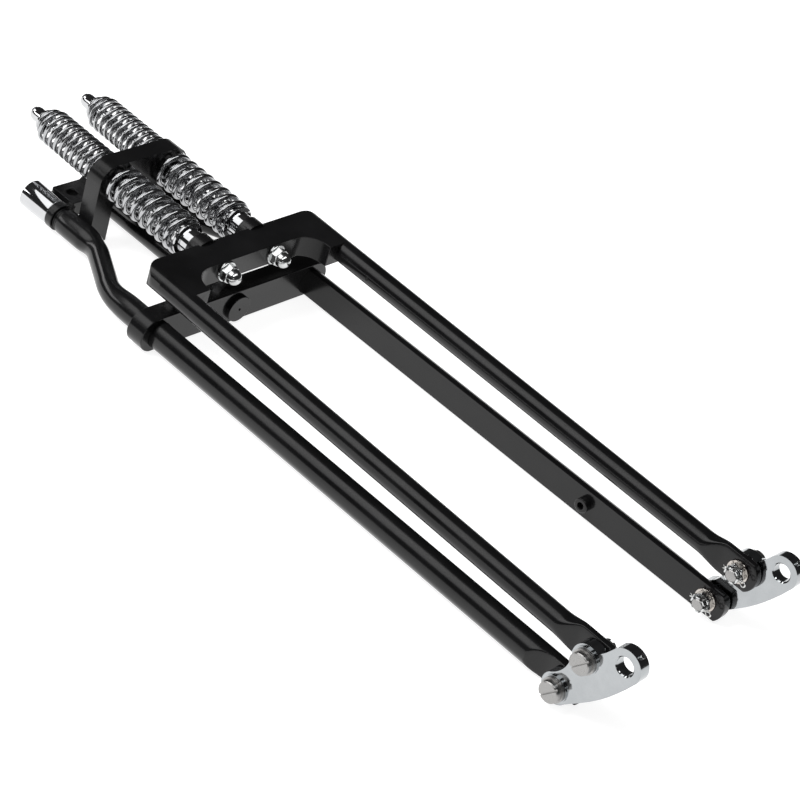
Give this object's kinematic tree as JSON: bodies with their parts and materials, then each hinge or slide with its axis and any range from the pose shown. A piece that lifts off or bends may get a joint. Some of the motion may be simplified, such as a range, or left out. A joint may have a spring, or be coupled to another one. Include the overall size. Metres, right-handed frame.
{
  "type": "springer fork",
  "caption": "Leading-link springer front fork: rigid rear frame with steering stem, sprung front frame on two spring rods, and rockers that carry the wheel axle.",
  "frame": {"origin": "on the floor below the middle of the fork, halfway between its two ends and on the middle plane", "axes": "X across the fork, +Y along the legs towards the handlebar end, +Z the forward side of the fork, facing up as it lies flat"},
  "size_m": [0.2864, 0.9856, 0.1144],
  "materials": {
    "black_satin": "semi-gloss black paint",
    "black_flat": "satin black paint",
    "chrome": "bright polished chrome",
    "satin_chrome": "chrome with a slightly satin face",
    "zinc_steel": "bright zinc plated steel",
    "bronze": "plain bearing bronze"
  },
  "bodies": {
    "rear_frame": {"rear_leg_r": "black_satin", "rear_leg_l": "black_satin", "gooseneck_r": "black_satin", "gooseneck_l": "black_satin", "leg_top_stud_r": "black_satin", "leg_top_stud_l": "black_satin", "lower_crown": "black_satin", "steering_stem": "black_satin", "spring_perch": "black_flat", "top_clamp": "black_flat", "leg_cap_r": "chrome", "leg_cap_l": "chrome", "leg_boss_r": "black_satin", "leg_boss_l": "black_satin", "rear_stud_r": "zinc_steel", "rear_stud_l": "zinc_steel", "rear_nuts": "zinc_steel", "rear_washers": "chrome", "rear_cotters": "zinc_steel", "rear_spacers": "chrome", "lower_spring_r": "chrome", "lower_spring_l": "chrome", "inner_spring_r": "chrome", "inner_spring_l": "chrome", "upper_spring_r": "chrome", "upper_spring_l": "chrome"},
    "rocker_arm_r": {"rocker_r": "satin_chrome", "rocker_bushings_r": "bronze", "rocker_nipples_r": "zinc_steel"},
    "rocker_arm_l": {"rocker_l": "satin_chrome", "rocker_bushings_l": "bronze", "rocker_nipples_l": "zinc_steel"},
    "front_frame": {"front_crown": "black_flat", "front_leg_r": "black_satin", "front_leg_l": "black_satin", "spring_rod_r": "chrome", "spring_rod_l": "chrome", "rod_acorn_nuts": "zinc_steel", "rod_top_nuts": "chrome", "spring_collars": "chrome", "front_stud_r": "zinc_steel", "front_stud_l": "zinc_steel", "front_nuts": "zinc_steel", "front_washers": "chrome", "front_cotters": "zinc_steel", "front_spacers": "chrome"},
    "rebound_seats": {"spring_caps": "chrome"}
  },
  "joints": [
    {"name": "rocker_r_pivot", "type": "hinge", "parent": "rear_frame", "child": "rocker_arm_r", "pos_m": [-0.125, -0.4188, 0.019], "axis": [-1, 0, 0], "range_deg": [0, 38], "stiffness_Nm_per_rad": 60, "deforming": ["lower_spring_r", "lower_spring_l", "inner_spring_r", "inner_spring_l", "upper_spring_r", "upper_spring_l"]},
    {"name": "rocker_l_pivot", "type": "hinge", "parent": "rear_frame", "child": "rocker_arm_l", "pos_m": [0.125, -0.4188, 0.019], "axis": [-1, 0, 0], "range_deg": [0, 38]},
    {"name": "front_frame_pivot", "type": "hinge", "parent": "rocker_arm_r", "child": "front_frame", "pos_m": [-0.125, -0.4368, 0.071], "axis": [-1, 0, 0], "range_deg": [-38, 0]},
    {"name": "rebound_seat_slide", "type": "slide", "parent": "rear_frame", "child": "rebound_seats", "axis": [0, 1, 0], "range_m": [0, 0.03593]}
  ],
  "couplings": [
    {"joint": "rocker_l_pivot", "follows": "rocker_r_pivot", "ratio": 1},
    {"joint": "front_frame_pivot", "follows": "rocker_r_pivot", "ratio": -1},
    {"joint": "rebound_seat_slide", "follows": "rocker_r_pivot", "m_per_rad": 0.05402}
  ]
}
